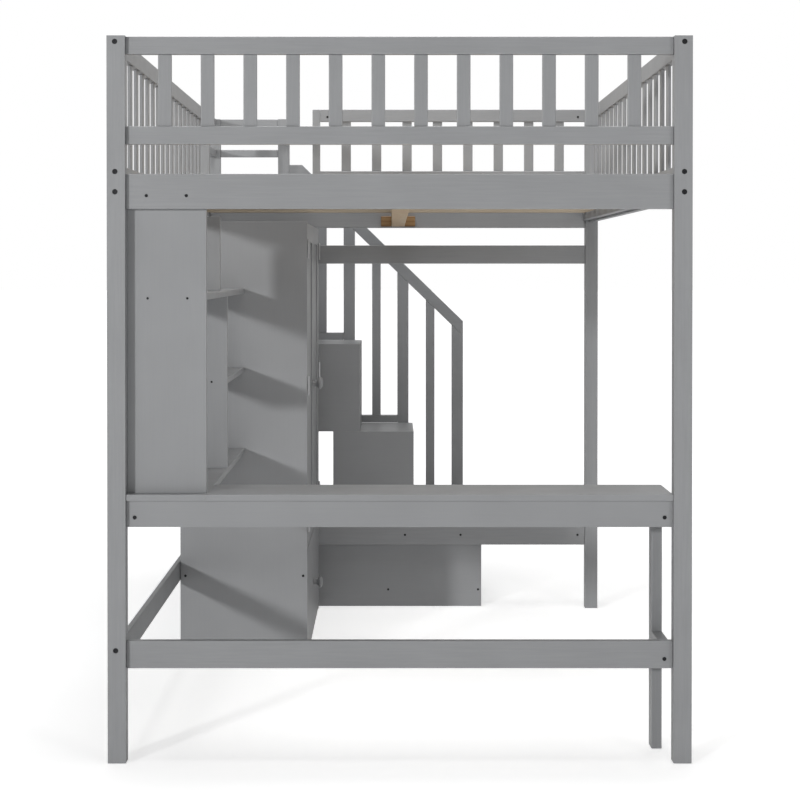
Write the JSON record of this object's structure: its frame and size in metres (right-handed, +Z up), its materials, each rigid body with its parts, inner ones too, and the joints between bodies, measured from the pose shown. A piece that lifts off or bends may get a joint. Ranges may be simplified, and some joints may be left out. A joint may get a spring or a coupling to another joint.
{
  "type": "loft bed with desk",
  "caption": "High bed on posts with slatted guards, over a narrow desk, open bookcase, wardrobe with hinged doors and a drawer, and a box staircase with handrail.",
  "frame": {"origin": "on the floor, at the centre of the footprint", "axes": "+Z up, +Y along the bed from the desk end to the stair end, +X to the open side away from the bookcase"},
  "size_m": [1.448, 2.3899, 1.8029],
  "materials": {
    "painted_timber": "satin gray paint over solid wood",
    "painted_panel": "satin gray paint over board",
    "pine": "planed, unpainted pine",
    "block_wood": "planed brown wood",
    "drawer_wood": "planed, unpainted wood",
    "chromed_tube": "chromed tube",
    "hinge_steel": "zinc-plated steel",
    "dark_steel": "blackened steel"
  },
  "bodies": {
    "frame": {"near_left_post": "painted_timber", "near_right_post": "painted_timber", "far_left_post": "painted_timber", "far_right_post": "painted_timber", "near_top_rail": "painted_timber", "near_mid_rail": "painted_timber", "near_end_rail": "painted_timber", "near_guard_slats": "painted_timber", "far_top_rail": "painted_timber", "far_mid_rail": "painted_timber", "far_end_rail": "painted_timber", "far_guard_slats": "painted_timber", "far_entry_post": "painted_timber", "far_cross_rails": "painted_timber", "left_top_rail": "painted_timber", "right_top_rail": "painted_timber", "left_side_rail": "painted_timber", "right_side_rail": "painted_timber", "left_guard_slats": "painted_timber", "right_guard_slats": "painted_timber", "slat_ledgers": "painted_timber", "near_lower_rail": "painted_timber", "left_stretcher": "painted_timber", "desk_side_rails": "painted_timber", "desk_leg": "painted_timber", "guard_newels": "painted_timber", "guard_rails": "painted_timber", "guard_balusters": "painted_timber", "desk_top": "painted_panel", "desk_apron": "painted_panel", "bookcase_end_panel": "painted_panel", "bookcase_dividers": "painted_panel", "bookcase_base": "painted_panel", "bookcase_shelves": "painted_panel", "wardrobe_near_side": "painted_panel", "wardrobe_far_side": "painted_panel", "wardrobe_shelves": "painted_panel", "wardrobe_back": "painted_panel", "stair_side_panels": "painted_panel", "stair_treads": "painted_panel", "stair_inner_boards": "painted_panel", "bed_slats": "pine", "center_beam": "pine", "beam_blocks": "block_wood", "drawer_runners": "drawer_wood", "hanging_rail": "chromed_tube", "hinge_fixed_leaves": "hinge_steel", "hinge_pins": "hinge_steel", "frame_bolts": "dark_steel", "panel_screws": "dark_steel"},
    "near_door": {"near_door": "painted_panel", "near_door_knob": "painted_timber", "near_hinge_leaves": "hinge_steel"},
    "far_door": {"far_door": "painted_panel", "far_door_knob": "painted_timber", "far_hinge_leaves": "hinge_steel"},
    "drawer": {"drawer_front": "painted_panel", "drawer_box": "drawer_wood", "drawer_knob": "painted_timber"}
  },
  "joints": [
    {"name": "near_door_hinge", "type": "hinge", "parent": "frame", "child": "near_door", "pos_m": [-0.2808, -0.0635, 0.861], "axis": [0, 0, -1], "range_deg": [0, 110]},
    {"name": "far_door_hinge", "type": "hinge", "parent": "frame", "child": "far_door", "pos_m": [-0.2808, 0.7375, 0.861], "axis": [0, 0, 1], "range_deg": [0, 90]},
    {"name": "drawer_slide", "type": "slide", "parent": "frame", "child": "drawer", "axis": [1, 0, 0], "range_m": [0, 0.28]}
  ]
}
